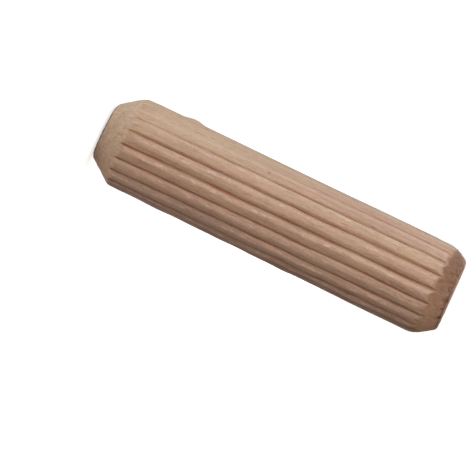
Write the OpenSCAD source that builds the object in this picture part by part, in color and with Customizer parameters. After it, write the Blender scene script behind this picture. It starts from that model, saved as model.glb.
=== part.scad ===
// Fluted dowel pin: a straight hardwood peg with flutes pressed along its whole length
// and a chamfer cut on each end. The flutes let air and spare glue out of the hole.
// It stands on its foot, the smaller end face, with the origin at the middle of that face
// and +Z along the pin to its head.

/* [Pin] */
// Diameter over the lands between the flutes, to suit the drilled hole
pin_d = 10; // [8:0.5:14]
// Length from the foot face to the head face
pin_len = 40; // [25:1:80]

/* [Flutes] */
// Number of flutes round the pin
flute_count = 19; // [12:1:24]
// Depth of a flute below the lands
flute_depth = 0.32; // [0.28:0.02:0.5]
// Width of a flute where it opens, measured round the pin
flute_w = 0.81; // [0.77:0.01:1]
// Radius at the root of a flute
flute_root_r = 0.08; // [0.04:0.01:0.1]
// Radius that rounds the edges of the lands
land_edge_r = 0.2; // [0.1:0.01:0.25]

/* [Foot end] */
// Length of the foot chamfer along the pin
foot_chamfer_len = 2.75; // [1:0.05:3]
// Angle between the foot chamfer and the pin's axis
foot_chamfer_angle = 37; // [25:0.5:42]
// Radius between the foot chamfer and the foot face
foot_corner_r = 0.8; // [0.1:0.05:1]
// Radius between the foot chamfer and the straight length of the pin
foot_shoulder_r = 2; // [0.5:0.1:3]

/* [Head end] */
// Length of the head chamfer along the pin
head_chamfer_len = 1.95; // [1:0.05:3]
// Angle between the head chamfer and the pin's axis
head_chamfer_angle = 34; // [25:0.5:42]
// Radius between the head chamfer and the head face
head_corner_r = 0.4; // [0.1:0.05:1]
// Radius between the head chamfer and the straight length of the pin
head_shoulder_r = 2.5; // [0.5:0.1:3]

/* [Hidden] */

wood = [0.72, 0.59, 0.49];
round_fn = 180;
corner_fn = 32;
// How far a cut runs on past the wood
clear = 1;
// How far a rounding stands proud of the lines it blends, so that they cross and don't
// only touch
proud = 0.0002;

pin_r = pin_d / 2;
pitch = 360 / flute_count;

// One flute, seen along the pin and centred on +X, is a V with a round root between two
// rounded land edges. An edge's circle touches the pin's surface from inside where the
// flute opens, and the flank is the line that touches both circles, at root_pt and flank_pt.
mouth_angle = flute_w / pin_d * 180 / PI;
root_centre = [pin_r - flute_depth + flute_root_r, 0];
edge_centre = (pin_r - land_edge_r) * [cos(mouth_angle), sin(mouth_angle)];
root_to_edge = edge_centre - root_centre;
flank_angle = atan2(root_to_edge.y, root_to_edge.x)
    - asin((flute_root_r + land_edge_r) / norm(root_to_edge));
off_flank = [-sin(flank_angle), cos(flank_angle)];
root_pt = root_centre + flute_root_r * off_flank;
flank_pt = edge_centre - land_edge_r * off_flank;
mouth_pt = (pin_r + clear) * [cos(mouth_angle), sin(mouth_angle)];

// A point of the flute's outline on its other side
function mirrored(p) = [p.x, -p.y];

// Cross-section of the wood that one flute takes away
module flute_cut() {
    side = [root_pt, flank_pt, edge_centre, mouth_pt];
    difference() {
        polygon(concat(side, [for (i = [3:-1:0]) mirrored(side[i])]));
        for (centre = [edge_centre, mirrored(edge_centre)])
            translate(centre) circle(r = land_edge_r + proud, $fn = corner_fn);
    }
    translate(root_centre) circle(r = flute_root_r + proud, $fn = corner_fn);
}

// Cross-section of the fluted rod, with a flute at the front, on -Y
module fluted_section() {
    difference() {
        circle(r = pin_r, $fn = round_fn);
        for (i = [0:flute_count - 1])
            rotate(i * pitch - 90) flute_cut();
    }
}

// Radius where a chamfer meets its end face, before that corner is rounded
function face_edge_r(len, angle) = pin_r - len * tan(angle);

// What a rounding takes away from a corner of the blank's outline. The two lines of the
// corner touch the rounding's circle where its radii at these two angles end.
module corner_cut(centre, r, first_angle, last_angle) {
    reach = r + clear;
    half = (last_angle - first_angle) / 2;
    difference() {
        translate(centre) polygon([
            [0, 0],
            reach * [cos(first_angle), sin(first_angle)],
            reach / cos(half) * [cos(first_angle + half), sin(first_angle + half)],
            reach * [cos(last_angle), sin(last_angle)]
        ]);
        translate(centre) circle(r = r + proud, $fn = corner_fn);
    }
}

// Both roundings of a chamfered end whose face lies at y = 0: at the face's edge, and at
// the shoulder where the chamfer meets the straight length
module end_roundings(len, angle, corner_r, shoulder_r) {
    edge_r = face_edge_r(len, angle);
    corner_cut([edge_r - corner_r * tan((90 - angle) / 2), corner_r], corner_r, -90, -angle);
    corner_cut([pin_r - shoulder_r, len + shoulder_r * tan(angle / 2)], shoulder_r, -angle, 0);
}

// The rod cut to length and chamfered at both ends, as it would be without flutes
module chamfered_blank() {
    rotate_extrude($fn = round_fn)
        difference() {
            polygon([
                [0, 0],
                [face_edge_r(foot_chamfer_len, foot_chamfer_angle), 0],
                [pin_r, foot_chamfer_len],
                [pin_r, pin_len - head_chamfer_len],
                [face_edge_r(head_chamfer_len, head_chamfer_angle), pin_len],
                [0, pin_len]
            ]);
            end_roundings(foot_chamfer_len, foot_chamfer_angle, foot_corner_r, foot_shoulder_r);
            translate([0, pin_len]) mirror([0, 1])
                end_roundings(
                    head_chamfer_len, head_chamfer_angle, head_corner_r, head_shoulder_r
                );
        }
}

module dowel_pin() {
    color(wood)
        intersection() {
            chamfered_blank();
            translate([0, 0, -clear]) linear_extrude(pin_len + 2 * clear) fluted_section();
        }
}

dowel_pin();
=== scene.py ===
"""A fluted dowel pin of beech, stood on its foot under plain, soft studio light."""

from math import atan2, cos, pi, radians, sin, tan

import bpy
from mathutils import Matrix, Vector


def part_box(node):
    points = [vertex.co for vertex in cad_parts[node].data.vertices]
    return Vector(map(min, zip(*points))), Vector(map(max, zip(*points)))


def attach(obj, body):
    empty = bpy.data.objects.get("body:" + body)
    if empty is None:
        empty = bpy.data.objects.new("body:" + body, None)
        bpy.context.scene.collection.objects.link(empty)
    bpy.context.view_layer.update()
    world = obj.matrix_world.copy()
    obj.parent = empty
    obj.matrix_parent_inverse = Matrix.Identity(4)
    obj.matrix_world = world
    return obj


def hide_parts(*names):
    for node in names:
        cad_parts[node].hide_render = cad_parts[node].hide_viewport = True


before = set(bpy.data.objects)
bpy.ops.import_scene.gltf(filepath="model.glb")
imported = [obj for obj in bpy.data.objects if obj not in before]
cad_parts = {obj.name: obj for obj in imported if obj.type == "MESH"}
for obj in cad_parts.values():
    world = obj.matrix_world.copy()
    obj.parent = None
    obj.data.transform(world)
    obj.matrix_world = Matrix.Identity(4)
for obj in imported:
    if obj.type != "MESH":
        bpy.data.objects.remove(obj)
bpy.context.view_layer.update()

# ---- The dowel pin: its fluted rod --------------------------------------------------
# A dowel pin is cut from a long round rod of beech that was drawn through a toothed die.
# The teeth pressed flutes into the rod, and the wood between them sprang back to round
# ridges. The rod stands upright here and is as long as the pin.

MM = 0.001
cad_low, cad_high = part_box("dowel_pin")
pin_r = (cad_high.x - cad_low.x) / 2
pin_len = cad_high.z - cad_low.z

flute_count = 19
land_drop = 0.21 * MM         # by which a ridge is rounded down from its crest to its edges
land_power = 1.9              # 2 is an even round, and less gives narrower crests
v_depth = 0.14 * MM           # of the V that a tooth pressed between two ridges
v_half_width = 0.2 * MM
foot_turn = radians(7.1)      # from -Y to +X, of the flutes at the foot against the head's
aside = 0.3 * MM              # square to the rod, from its foot end to the die's middle
askew = radians(0.33)         # by which the rod leans back to the middle from there
oval = 1.02                   # the rod's width from -X to +X, as a share of its round width

pitch = 2 * pi / flute_count  # from flute to flute, as an angle
half_ridge = pin_r * pitch / 2


def deselect_objects():
    for thing in bpy.context.selected_objects:
        thing.select_set(False)


def select_vertices(mesh, chosen):
    """Go to edit mode with the vertices selected for which chosen(vertex) is true."""
    bpy.ops.object.mode_set(mode="OBJECT")
    mesh.polygons.foreach_set("select", [False] * len(mesh.polygons))
    mesh.edges.foreach_set("select", [False] * len(mesh.edges))
    mesh.vertices.foreach_set("select", [chosen(vertex) for vertex in mesh.vertices])
    bpy.ops.object.mode_set(mode="EDIT")


def flute_drop(from_root):
    """How far the section lies under the crests, that far round the rod from a flute's root."""
    drop = land_drop * (1 - from_root / half_ridge) ** land_power
    return drop + v_depth * max(0, 1 - from_root / v_half_width)


# A circle whose first vertex is a flute's root is pressed to the rod's section.
columns_per_flute = 20
deselect_objects()
bpy.ops.mesh.primitive_circle_add(
    vertices=flute_count * columns_per_flute, radius=pin_r, rotation=(0, 0, pi + foot_turn)
)
pin = bpy.context.object
pin.name = pin.data.name = "beech_pin"
bpy.ops.object.transform_apply(rotation=True)
bpy.ops.object.mode_set(mode="EDIT")
bpy.ops.mesh.select_mode(type="VERT")
for column in range(columns_per_flute // 2 + 1):
    pair = (column, -column % columns_per_flute)
    select_vertices(pin.data, lambda vertex: vertex.index % columns_per_flute in pair)
    shrunk = 1 - flute_drop(column * pitch / columns_per_flute * pin_r) / pin_r
    bpy.ops.transform.resize(value=(shrunk, shrunk, 1), center_override=(0, 0, 0))

# It is drawn up in rows, which are close together near the ends that are still to be turned.
foot_zone = 3.3 * MM
foot_rows = 34
head_zone = 2.9 * MM
head_rows = 32
shank_rows = 84
bpy.ops.mesh.select_all(action="SELECT")
for zone, rows in (
    (foot_zone, foot_rows),
    (pin_len - foot_zone - head_zone, shank_rows),
    (head_zone, head_rows),
):
    for row in range(rows):
        bpy.ops.mesh.extrude_edges_move(TRANSFORM_OT_translate={"value": (0, 0, zone / rows)})

# Each end is closed by rings that shrink to a point.
rings = 30
rim_reach = 0.01 * MM
for end_z in (0, pin_len):
    select_vertices(pin.data, lambda vertex: abs(vertex.co.z - end_z) < rim_reach)
    for ring in range(rings, 1, -1):
        shrunk = (ring - 1) / ring
        bpy.ops.mesh.extrude_edges_move()
        bpy.ops.transform.resize(value=(shrunk, shrunk, 1), center_override=(0, 0, end_z))
    bpy.ops.mesh.merge(type="CENTER")
bpy.ops.mesh.select_all(action="SELECT")
bpy.ops.mesh.normals_make_consistent(inside=False)
bpy.ops.object.mode_set(mode="OBJECT")


def note_amounts(name, amounts):
    """Keep a number from 0 to 1 for each vertex, for the wood's colour."""
    layer = pin.data.attributes.new(name, "FLOAT", "POINT")
    layer.data.foreach_set("value", amounts)


def across_ridge(vertex):
    """0 at the flute on the ridge's left, as seen from outside, and 1 at the flute on its right."""
    azimuth = atan2(vertex.co.x, -vertex.co.y)
    return (azimuth - foot_turn) / pitch % 1


def apply_modifier(thing, kind, **settings):
    """Add a modifier, set it up and apply it."""
    modifier = thing.modifiers.new(kind.title(), kind)
    for name, value in settings.items():
        setattr(modifier, name, value)
    bpy.context.view_layer.objects.active = thing
    bpy.ops.object.modifier_apply(modifier=modifier.name)


def select_only_pin():
    deselect_objects()
    pin.select_set(True)
    bpy.context.view_layer.objects.active = pin


# The rod screwed itself through the die. The left flank of each ridge, which on the pin's
# front faces the key lamp, is kept for a painted highlight. How near a crest the wood lies
# counts where the ends are turned.
highlight_at = 0.28              # of the way across a ridge
highlight_reach = 0.24
across = [across_ridge(vertex) for vertex in pin.data.vertices]
note_amounts("painted_highlight", [max(0, 1 - abs(part - highlight_at) / highlight_reach) for part in across])
note_amounts("crest", [sin(pi * part) for part in across])
apply_modifier(pin, "SIMPLE_DEFORM", deform_method="TWIST", deform_axis="Z", angle=-foot_turn)

# It also ran a little out of the die's middle, so that its flutes are shallower on the -X
# side, most of all at the foot.
pin.location.x = -aside * cos(askew)
pin.rotation_euler.y = askew
pin.scale.x = oval
select_only_pin()
bpy.ops.object.transform_apply(location=True, rotation=True, scale=True)


def ripple(width, length, height, direction="NORMAL", start=(0, 0, 0), group="", spots=()):
    """Move the pin's surface by noise, in waves that wide across and long along the fibre.

    The noise starts that many millimetres off, so that no two sets of waves are alike. A group
    of vertices is only pressed in, and with spots only where the noise is lowest.
    """
    waves = bpy.data.textures.new("waves", "CLOUDS")
    waves.noise_scale = 1
    waves.noise_depth = 1
    if spots:
        waves.use_color_ramp = True
        for stop, (position, value) in zip(waves.color_ramp.elements, zip(spots, (0, 1))):
            stop.position = position
            stop.color = (value, value, value, 1)
    wave_frame = bpy.data.objects.new("waves", None)
    bpy.context.collection.objects.link(wave_frame)
    wave_frame.location = Vector(start) * MM
    wave_frame.scale = (width, width, length)
    bpy.context.view_layer.update()
    apply_modifier(
        pin,
        "DISPLACE",
        texture=waves,
        texture_coords="OBJECT",
        texture_coords_object=wave_frame,
        direction=direction,
        strength=height,
        mid_level=1 if group else 0.5,
        vertex_group=group,
    )
    bpy.data.objects.remove(wave_frame)
    bpy.data.textures.remove(waves)


# The flutes run a little unevenly, some crests are flatter, and single fibres stand up.
ripple(2.5 * MM, 5 * MM, 0.12 * MM, direction="X", start=(3, 1, 2))
ripple(2.5 * MM, 5 * MM, 0.12 * MM, direction="Y", start=(8, 5, 7))
ripple(0.8 * MM, 1.6 * MM, 0.05 * MM, direction="X", start=(5, 9, 1))
ripple(0.8 * MM, 1.6 * MM, 0.05 * MM, direction="Y", start=(7, 3, 5))
ripple(0.8 * MM, 5 * MM, 0.12 * MM, start=(1, 2, 9))
ripple(0.2 * MM, 3 * MM, 0.06 * MM, start=(4, 0, 6))

# ---- The dowel pin: its turned ends -------------------------------------------------
# The rod is sawn to length, not quite square, and its ends are turned to chamfers, which
# lead the pin into its hole. The lathe ran a little off the middle, the foot's chamfer is
# the longer one, and every corner is worn round.

foot_chamfer = 2.81 * MM      # its length along the pin
foot_angle = radians(37)      # by which it falls away from the rod's side
foot_round = 0.8 * MM         # the radius of its corner with the end face
foot_shoulder = 2 * MM        # and of its corner with the rod's side
foot_centre = -0.13 * MM      # the place of its axis, in x
head_chamfer = 1.95 * MM
head_angle = radians(34)
head_round = 0.6 * MM
head_shoulder = 2.5 * MM
head_centre = -0.12 * MM

# The sawn faces look a degree or two off square.
foot_saw = Vector((-tan(radians(0.9)), -tan(radians(1.4)), -1)).normalized()
head_saw = Vector((-tan(radians(1.2)), tan(radians(1.9)), 1)).normalized()
foot_edge_r = pin_r - foot_chamfer * tan(foot_angle)
head_edge_r = pin_r - head_chamfer * tan(head_angle)

# The turned shape is a tube that goes from ring to ring. The rings where the chamfers meet
# the rod's side are tilted, because the chamfers' axes lie beside the rod's.
turned_columns = 240
clear = 0.5 * MM              # by which the shape is too long at each end until it is sawn
deselect_objects()
reached = Vector((foot_centre, 0, -clear))
reached_r = foot_edge_r - clear * tan(foot_angle)
reached_tilt = 0
bpy.ops.mesh.primitive_circle_add(vertices=turned_columns, radius=reached_r, location=reached)
turned = bpy.context.object
bpy.ops.object.transform_apply(location=True)
bpy.ops.object.mode_set(mode="EDIT")
for centre_x, centre_z, ring_r, tilt in (
    (0, foot_chamfer, pin_r, -foot_centre / tan(foot_angle) / pin_r),
    (0, pin_len - head_chamfer, pin_r, head_centre / tan(head_angle) / pin_r),
    (head_centre, pin_len + clear, head_edge_r - clear * tan(head_angle), 0),
):
    centre = Vector((centre_x, 0, centre_z))
    wider = ring_r / reached_r
    bpy.ops.mesh.extrude_edges_move(TRANSFORM_OT_translate={"value": centre - reached})
    bpy.ops.transform.resize(value=(wider, wider, 1), center_override=centre)
    bpy.ops.transform.rotate(value=tilt - reached_tilt, orient_axis="Y", center_override=centre)
    reached, reached_r, reached_tilt = centre, ring_r, tilt

# The saw cuts each end so that the outermost point of its rim lies where the pin ends.
for end_x, end_z, edge_r, saw in (
    (foot_centre, 0, foot_edge_r, foot_saw),
    (head_centre, pin_len, head_edge_r, head_saw),
):
    inside = edge_r * Vector((saw.x, saw.y)).length / saw.z
    bpy.ops.mesh.select_all(action="SELECT")
    bpy.ops.mesh.bisect(
        plane_co=(end_x, 0, end_z - inside), plane_no=saw, clear_outer=True, use_fill=True
    )
bpy.ops.mesh.select_all(action="SELECT")
bpy.ops.mesh.normals_make_consistent(inside=False)


def round_corner(corner_z, radius, bend):
    """Round the turned shape's ring near a height, where its outline bends by that angle."""
    ring_reach = 0.5 * MM
    select_vertices(turned.data, lambda vertex: abs(vertex.co.z - corner_z) < ring_reach)
    bpy.ops.mesh.bevel(offset=radius * tan(bend / 2), segments=8)


round_corner(0, foot_round, pi / 2 - foot_angle)
round_corner(pin_len, head_round, pi / 2 - head_angle)
round_corner(foot_chamfer, foot_shoulder, foot_angle)
round_corner(pin_len - head_chamfer, head_shoulder, head_angle)
bpy.ops.object.mode_set(mode="OBJECT")

# The rod is cut back to the turned shape wherever it stands out of it.
uncut = [vertex.co.copy() for vertex in pin.data.vertices]
apply_modifier(
    pin, "SHRINKWRAP", target=turned, wrap_method="NEAREST_SURFACEPOINT", wrap_mode="INSIDE"
)
bpy.data.objects.remove(turned)


def group_vertices(name, amounts):
    """Make a group of the vertices whose amount is above 0."""
    group = pin.vertex_groups.new(name=name)
    for index, amount in enumerate(amounts):
        if amount > 0:
            group.add([index], amount, "REPLACE")


# Where the flutes are shallowest, on the -X side, they are also rubbed soft, over a wider
# stretch towards the foot.
soft_from = 2.3 * MM          # how far from the axis the rubbing begins, at the foot
soft_retreat = 0.035          # how much further out it begins for every step up the pin
soft_reach = 1.6 * MM         # from there to where it is strongest
softness = [
    min(1, (-vertex.co.x - soft_from - soft_retreat * vertex.co.z) / soft_reach)
    if foot_chamfer < vertex.co.z < pin_len - head_chamfer
    else 0
    for vertex in pin.data.vertices
]
group_vertices("rubbed_soft", softness)
apply_modifier(pin, "SMOOTH", factor=0.5, iterations=16, vertex_group="rubbed_soft")


def push(place, move, reach):
    """Move the surface at a place, and less and less of what lies around it."""
    nearest = min(pin.data.vertices, key=lambda vertex: (vertex.co - place).length).index
    select_only_pin()
    select_vertices(pin.data, lambda vertex: vertex.index == nearest)
    bpy.ops.transform.translate(
        value=move,
        use_proportional_edit=True,
        proportional_edit_falloff="SMOOTH",
        proportional_size=reach,
    )
    bpy.ops.object.mode_set(mode="OBJECT")


# One hard spot in the rod was pressed less than the wood around it and stands up as a hump.
hump_z = 8.25 * MM
hump_height = 0.21 * MM
hump_reach = 1.4 * MM
push(Vector((-pin_r, 0, hump_z)), (-hump_height, 0, 0), hump_reach)


def amounts_moved(places, full):
    """0 for a vertex that is still at its place, and 1 for one that moved that far or more."""
    pairs = zip(pin.data.vertices, places)
    return [min(1, (vertex.co - place).length / full) for vertex, place in pairs]


# The tools left the cut wood a little torn.
shaving = 0.04 * MM           # where this much or more was cut off, the wood is fully torn
end_zone = 4 * MM             # further in, the tools only touched some crests
cut = [
    amount if min(place.z, pin_len - place.z) < end_zone else 0
    for amount, place in zip(amounts_moved(uncut, shaving), uncut)
]
face_limit = 0.8              # an end face's normals point along the pin by more than this
facing = [abs(normal.vector.z) for normal in pin.data.vertex_normals]
sawn = [min(1, max(0, (part - face_limit) / (1 - face_limit))) for part in facing]
note_amounts("sawn", sawn)
group_vertices("cut_wood", cut)
group_vertices("sawn_wood", sawn)
ripple(0.5 * MM, 0.9 * MM, 0.07 * MM, group="cut_wood")

# Vessels open as pits where they are sawn across, and the saw tore chips out of the head's
# rim. The chips' places are given across the pin, in millimetres.
chips = ((-0.5, -3.5), (0.4, -3.75), (2.5, -2.8), (-3.0, -1.9), (1.0, 3.4))
chip_depth = 0.25 * MM
chip_reach = 0.5 * MM
chip_z = pin_len - 0.3 * MM
deepest = 0.2 * MM            # pits and chips of this depth or more are darkest
whole = [vertex.co.copy() for vertex in pin.data.vertices]
ripple(0.2 * MM, 0.2 * MM, 0.1 * MM, group="sawn_wood", spots=(0.3, 0.45))
for chip_x, chip_y in chips:
    outward = Vector((chip_x, chip_y, 0)).normalized()
    push(Vector((chip_x * MM, chip_y * MM, chip_z)), outward * -chip_depth, chip_reach)
note_amounts("pitted", amounts_moved(whole, deepest))

# ---- The dowel pin: its wood --------------------------------------------------------
# Bare beech. Its pattern is a solid one, so that fibres run on into the end faces as in sawn
# wood, and it follows a grain that lies a little aslant in the pin. Lengths are given in
# millimetres here.

beech = bpy.data.materials.new("beech")
beech.use_nodes = True


class Wire:
    """The output of a shader node. Arithmetic on wires and numbers adds Math nodes."""

    tree = beech.node_tree

    def __init__(self, socket):
        self.socket = socket

    @classmethod
    def node(cls, kind, settings, inputs, output=0):
        """Add a node, set it up, feed its sockets with wires or values, and return its output."""
        made = cls.tree.nodes.new(kind)
        for name, value in settings.items():
            setattr(made, name, value)
        for name, value in inputs.items():
            if isinstance(value, Wire):
                cls.tree.links.new(value.socket, made.inputs[name])
            else:
                made.inputs[name].default_value = value
        return cls(made.outputs[output])

    @classmethod
    def math(cls, operation, *values):
        """Add one Math node that works on wires or numbers."""
        return cls.node("ShaderNodeMath", {"operation": operation}, dict(enumerate(values)))

    def __add__(self, other):
        return self.math("ADD", self, other)

    def __radd__(self, other):
        return self.math("ADD", other, self)

    def __sub__(self, other):
        return self.math("SUBTRACT", self, other)

    def __rsub__(self, other):
        return self.math("SUBTRACT", other, self)

    def __mul__(self, other):
        return self.math("MULTIPLY", self, other)

    def __rmul__(self, other):
        return self.math("MULTIPLY", other, self)

    def __truediv__(self, other):
        return self.math("DIVIDE", self, other)

    def __pow__(self, other):
        return self.math("POWER", self, other)

    def __abs__(self):
        return self.math("ABSOLUTE", self)


def ramp_up(value, start, end):
    """0 below start, 1 above end, and smooth between them."""
    settings = {"interpolation_type": "SMOOTHSTEP"}
    inputs = {"Value": value, "From Min": start, "From Max": end}
    return Wire.node("ShaderNodeMapRange", settings, inputs)


def mix(factor, first, second, blend="MIX"):
    """The first colour, and more of the second as the factor goes from 0 to 1."""
    settings = {"data_type": "RGBA", "blend_type": blend}
    inputs = {"Factor": factor, 6: first, 7: second}
    return Wire.node("ShaderNodeMix", settings, inputs, output=2)


def srgb(red, green, blue):
    """A colour as it looks on screen, from 0 to 255, in the linear values that shaders use."""
    return tuple(
        part / 12.92 if part <= 0.04045 else ((part + 0.055) / 1.055) ** 2.4
        for part in (red / 255, green / 255, blue / 255)
    ) + (1,)


def noted(name):
    """What note_amounts kept under that name."""
    return Wire.node("ShaderNodeAttribute", {"attribute_name": name}, {}, output="Fac")


pin_r_mm = pin_r / MM
pin_len_mm = pin_len / MM
place_m = Wire.node("ShaderNodeTexCoord", {}, {}, output="Object")
place_mm = Wire.node("ShaderNodeMapping", {}, {"Vector": place_m, "Scale": [1 / MM] * 3})
split = Wire.node("ShaderNodeSeparateXYZ", {}, {"Vector": place_mm}).socket.node
x, y, z = (Wire(part) for part in split.outputs)
from_axis = (x * x + y * y) ** 0.5

grain_tilt = (radians(1.1), radians(-0.8), 0)
grain_start = (11, -7, 3)
inputs = {"Vector": place_mm, "Rotation": grain_tilt, "Location": grain_start}
grain = Wire.node("ShaderNodeMapping", {}, inputs)


def noise(width, length, detail=2):
    """Noise from 0 to 1, in spots that wide across and long along the grain."""
    size = (1 / width, 1 / width, 1 / length)
    scaled = Wire.node("ShaderNodeVectorMath", {"operation": "MULTIPLY"}, {0: grain, 1: size})
    return Wire.node("ShaderNodeTexNoise", {}, {"Vector": scaled, "Scale": 1, "Detail": detail})


# The wood is painted paler on the -X side, where the key lamp falls, and pinker and darker
# on the +X side, away from it, most clearly at the foot: this is painted light and shade. It
# also has broad patches of its own. Two growth rings run along the -X side, a dark one that
# fades out towards the foot and a pale one beside it.
pink_patches_and_side_shade = 0.42 + x * (0.08 - z * 0.0018) + z * 0.002 + (noise(1.8, 14) - 0.5) * 1.1
colour = mix(pink_patches_and_side_shade, srgb(203, 183, 153), srgb(187, 153, 132))
dark_ring_x = -3.7
dark_ring = ramp_up(z, 10, 24) * (1 - ramp_up(abs(x - dark_ring_x), 0.2, 1.3))
colour = mix(dark_ring * 0.6, colour, srgb(174, 131, 102))
pale_ring_x = -2.8
pale_ring = 1 - ramp_up(abs(x - pale_ring_x), 0.2, 1)
colour = mix(pale_ring * 0.35, colour, srgb(204, 186, 158))

# Streaks of fibre are lighter or darker, in three sizes, and some are yellower or pinker.
streaks = noise(0.3, 7, detail=3)
fibres = noise(0.1, 1.6)
specks = noise(0.11, 0.3)
grain_tone = 1 + (streaks - 0.5) * 0.45 + (fibres - 0.5) * 0.35 + (specks - 0.5) * 0.4
tints = noise(0.3, 1, detail=3)
colour = mix(ramp_up(tints, 0.5, 0.7) * 0.4, colour, srgb(200, 172, 126))
colour = mix((1 - ramp_up(tints, 0.3, 0.5)) * 0.4, colour, srgb(186, 142, 130))

# The flutes are darker and redder, more in some stretches than in others: pressed wood, and
# painted shade in the hollows. The flank that faces +X, away from the key lamp, is darker with
# painted shade. The left flank of each ridge has a painted highlight, with brighter painted
# glints. Vessels that are cut lengthways are short dark dashes.
rod_x = (x + aside / MM - z * tan(askew)) * (1 / oval)
under_rod = pin_r_mm - (rod_x * rod_x + y * y) ** 0.5
deep = Wire.math("MINIMUM", pin_r_mm - from_axis, under_rod)
uneven = ramp_up(noise(1.2, 5), 0.35, 0.65)
pressed_and_shade = ramp_up(deep, 0.15, 0.33) * (0.25 + 0.75 * uneven)
colour = mix(pressed_and_shade * 0.65, colour, srgb(150, 80, 60))
shaded_flank = ramp_up(x / from_axis, 0.8, 0.95)
colour = mix(shaded_flank * (0.25 + 0.35 * uneven), colour, srgb(124, 68, 50))
painted_highlight = ramp_up(noted("painted_highlight"), 0.1, 0.9)
painted_glints = painted_highlight * ramp_up(x, -3.4, -2.4) * ramp_up(noise(0.3, 0.9, detail=1), 0.56, 0.66)
colour = mix(painted_highlight * 0.28 + painted_glints * 0.5, colour, srgb(226, 208, 190))
dashes = ramp_up(noise(0.13, 1.1, detail=1), 0.6, 0.7)
colour = mix(dashes * 0.4, colour, srgb(148, 105, 84))

# A pin knot is a tiny dark dot.
knot_place = (-3.57, -3.5, 17.6)
knot_r = 0.06
knot_edge_r = 0.25
inputs = {0: place_mm, 1: knot_place}
from_knot = Wire.node("ShaderNodeVectorMath", {"operation": "DISTANCE"}, inputs, output="Value")
knot = 1 - ramp_up(from_knot, knot_r, knot_edge_r)
colour = mix(knot * 0.6, colour, srgb(120, 82, 62))

# The foot's chamfer is painted pale, which is painted light, and the head's chamfer dark,
# which is painted shade and is painted lighter towards +X.
# Each chamfer begins at a ragged line, further in on the ridges' crests than beside them.
crest = noted("crest")


def chamfer_mask(beyond, angle, centre, scallop):
    """1 where a chamfer cut the wood, for points that lie that far beyond its beginning."""
    # Its shoulder is round, so it falls softly at first. Flutes that lie deeper are left out.
    fall = beyond * tan(angle)
    depth = (fall + (fall * fall + 0.05) ** 0.5) / 2
    off_axis_x = x - centre / MM
    lies_under = pin_r_mm - (off_axis_x * off_axis_x + y * y) ** 0.5
    ragged = fall + (crest - 0.6) * scallop + (noise(0.7, 0.7) - 0.5) * 0.4
    return ramp_up(ragged, -0.15, 0.25) * (1 - ramp_up(lies_under - depth, 0.06, 0.18))


foot_mask = chamfer_mask(foot_chamfer / MM - z, foot_angle, foot_centre, 0.15)
head_mask = chamfer_mask(z - (pin_len - head_chamfer) / MM, head_angle, head_centre, 0.32)
mottle = noise(0.35, 0.9, detail=3)
foot_mottle_and_light = mix(ramp_up(mottle, 0.35, 0.75), srgb(215, 202, 179), srgb(205, 183, 158))
foot_mottle_and_light = mix((x - 0.6) * 0.16, foot_mottle_and_light, srgb(224, 184, 148))
head_mottle_and_shade = mix(ramp_up(mottle, 0.4, 0.65), srgb(149, 120, 96), srgb(134, 102, 79))
head_mottle_and_shade = mix(0.3 + x * 0.2, head_mottle_and_shade, srgb(192, 160, 132))
colour = mix(foot_mask, colour, foot_mottle_and_light)
colour = mix(head_mask, colour, head_mottle_and_shade)

# Near the head's face the wood is torn in dark and pale spots. Painted shade darkens the
# head's rim and face on the +X side, away from the key lamp, and the foot's rim is painted
# pale, as painted light where it meets the floor.
torn = noise(0.35, 0.35, detail=1)
near_face = ramp_up(z, pin_len_mm - 1.1, pin_len_mm - 0.4)
colour = mix(near_face * ramp_up(torn, 0.56, 0.68) * 0.75, colour, srgb(104, 76, 60))
colour = mix(near_face * (1 - ramp_up(torn, 0.3, 0.42)) * 0.6, colour, srgb(190, 168, 144))
head_rim = ramp_up(z, pin_len_mm - 0.4, pin_len_mm - 0.15)
rim_shade = head_rim * ramp_up(x + torn * 2, -0.5, 1.5)
colour = mix(rim_shade * 0.75, colour, srgb(80, 56, 44))
foot_rim_light = 1 - ramp_up(z, 0.1, 0.7)
colour = mix(foot_rim_light * 0.8, colour, srgb(240, 228, 208))

# The sawn faces are nearly one brown, and the wood is dark where pits and chips are: torn
# wood, with painted shade in these hollows.
colour = mix(noted("sawn") * 0.85, colour, srgb(184, 152, 128))
colour = mix(noted("pitted") * 0.8, colour, srgb(96, 62, 48))

grain_tone_colour = Wire.node("ShaderNodeCombineXYZ", {}, {0: grain_tone, 1: grain_tone, 2: grain_tone})
colour = mix(1, colour, grain_tone_colour, blend="MULTIPLY")

# The fibres also stand up as fine relief, and the flutes are duller than the ridges.
relief = streaks * 0.5 + fibres * 0.6 + specks * 0.3 - dashes * 0.3
inputs = {"Height": relief, "Strength": 0.6, "Distance": 0.04 * MM}
bump = Wire.node("ShaderNodeBump", {}, inputs)
roughness = 0.42 + ramp_up(deep, 0.12, 0.3) * 0.26
wood = beech.node_tree.nodes["Principled BSDF"]
for name, value in {"Base Color": colour, "Roughness": roughness, "Normal": bump}.items():
    beech.node_tree.links.new(value.socket, wood.inputs[name])
wood.inputs["Specular IOR Level"].default_value = 0.9
pin.data.materials.append(beech)
select_only_pin()
bpy.ops.object.shade_smooth_by_angle(angle=radians(50))
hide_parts("dowel_pin")
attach(pin, "root")

# ---- The studio ---------------------------------------------------------------------
# The pin stands on a wide pale floor under a dim warm sky. The key lamp is a low strip on
# its -X side, a warm fill stands in front, and two more lamps light its top and its back.

deselect_objects()
bpy.ops.mesh.primitive_circle_add(vertices=96, radius=2, fill_type="NGON")
floor = bpy.context.object
floor.name = "floor"

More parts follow.
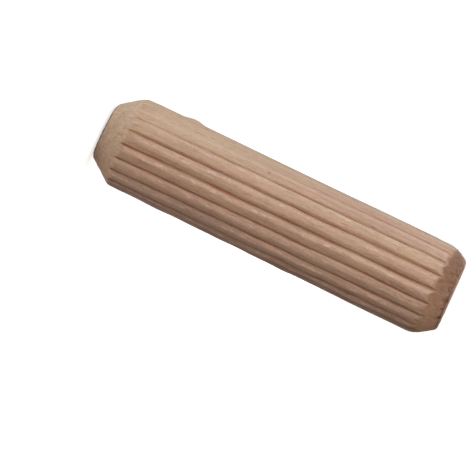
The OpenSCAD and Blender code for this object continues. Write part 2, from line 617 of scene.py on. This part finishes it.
# The camera sees the floor as white. It glows less near the pin, where the lamps light it.
pale = bpy.data.materials.new("pale_floor")
pale.use_nodes = True
floor.data.materials.append(pale)
Wire.tree = pale.node_tree
seen = Wire.node("ShaderNodeLightPath", {}, {}, output="Is Camera Ray")
floor_place = Wire.node("ShaderNodeTexCoord", {}, {}, output="Object")
inputs = {0: floor_place}
from_pin = Wire.node("ShaderNodeVectorMath", {"operation": "LENGTH"}, inputs, output="Value")
glow = seen * (0.7 + ramp_up(from_pin, 0.1, 0.6) * 0.3)
paint = pale.node_tree.nodes["Principled BSDF"]
paint.inputs["Base Color"].default_value = (0.9, 0.9, 0.9, 1)
paint.inputs["Roughness"].default_value = 0.9
paint.inputs["Emission Color"].default_value = (1, 1, 1, 1)
pale.node_tree.links.new(glow.socket, paint.inputs["Emission Strength"])

# The sky lights the pin weakly, and the camera sees it as white.
white = (1, 1, 1, 1)
warm = (1, 0.8, 0.72, 1)
sky_level = 0.06
sky = bpy.data.worlds.new("sky")
sky.use_nodes = True
bpy.context.scene.world = sky
Wire.tree = sky.node_tree
seen = Wire.node("ShaderNodeLightPath", {}, {}, output="Is Camera Ray")
strength = seen * (1 - sky_level) + sky_level
background = sky.node_tree.nodes["Background"]
sky.node_tree.links.new(mix(seen, warm, white).socket, background.inputs["Color"])
sky.node_tree.links.new(strength.socket, background.inputs["Strength"])


def direction(azimuth, elevation):
    """The way from the pin to that azimuth, which goes from -Y to +X, and that elevation."""
    level = cos(elevation)
    return Vector((sin(azimuth) * level, -cos(azimuth) * level, sin(elevation)))


def place_lamp(name, azimuth, elevation, distance, size, light, colour):
    """A soft lamp aimed at the pin's middle, which gives it that share of full light."""
    lamp = bpy.data.objects.new(name, bpy.data.lights.new(name, "AREA"))
    bpy.context.collection.objects.link(lamp)
    lamp.data.shape = "RECTANGLE"
    lamp.data.size, lamp.data.size_y = size
    lamp.data.energy = light * (pi * distance) ** 2
    lamp.data.color = colour[:3]
    toward = direction(azimuth, elevation)
    lamp.location = Vector((0, 0, pin_len / 2)) + toward * distance
    lamp.rotation_euler = toward.to_track_quat("Z", "Y").to_euler()
    lamp.visible_camera = False


place_lamp("key", radians(-95), radians(6), 0.35, (0.35, 0.07), 0.3, white)
place_lamp("fill", radians(-26), radians(12), 0.4, (0.3, 0.2), 0.44, warm)
place_lamp("top", 0, radians(80), 0.4, (0.3, 0.3), 0.3, warm)
place_lamp("back", radians(190), radians(25), 0.4, (0.3, 0.3), 0.4, white)

# ---- The camera ---------------------------------------------------------------------
# It looks at the pin's front from far off and a little above, rolled so that the pin lies
# aslant across the picture with its foot on the left.

picture = 470                 # pixels in the picture's width and in its height
pixel = MM / 9.71             # what one of them covers at the pin
pin_x = 277.6                 # where the pin's middle falls, in pixels from the left
pin_y = 214.7                 # and from the top
elevation = radians(4.2)
azimuth = radians(-1)
roll = radians(25.7)          # by which the pin slopes down to the right
distance = 1
back = direction(azimuth, elevation)
along = (Vector((0, 0, 1)) - back * back.z).normalized()
level_right = along.cross(back)
right = along * cos(roll) - level_right * sin(roll)
up = back.cross(right)
aim = Vector((0, 0, pin_len / 2))
aim += (right * (picture / 2 - pin_x) + up * (pin_y - picture / 2)) * pixel
camera = bpy.data.objects.new("camera", bpy.data.cameras.new("camera"))
bpy.context.collection.objects.link(camera)
bpy.context.scene.camera = camera
camera.location = aim + back * distance
camera.rotation_euler = Matrix((right, up, back)).transposed().to_euler()
camera.data.lens = camera.data.sensor_width * distance / (picture * pixel)
camera.data.clip_start = 0.01
camera.data.clip_end = 10

bpy.context.scene.view_settings.view_transform = "Standard"
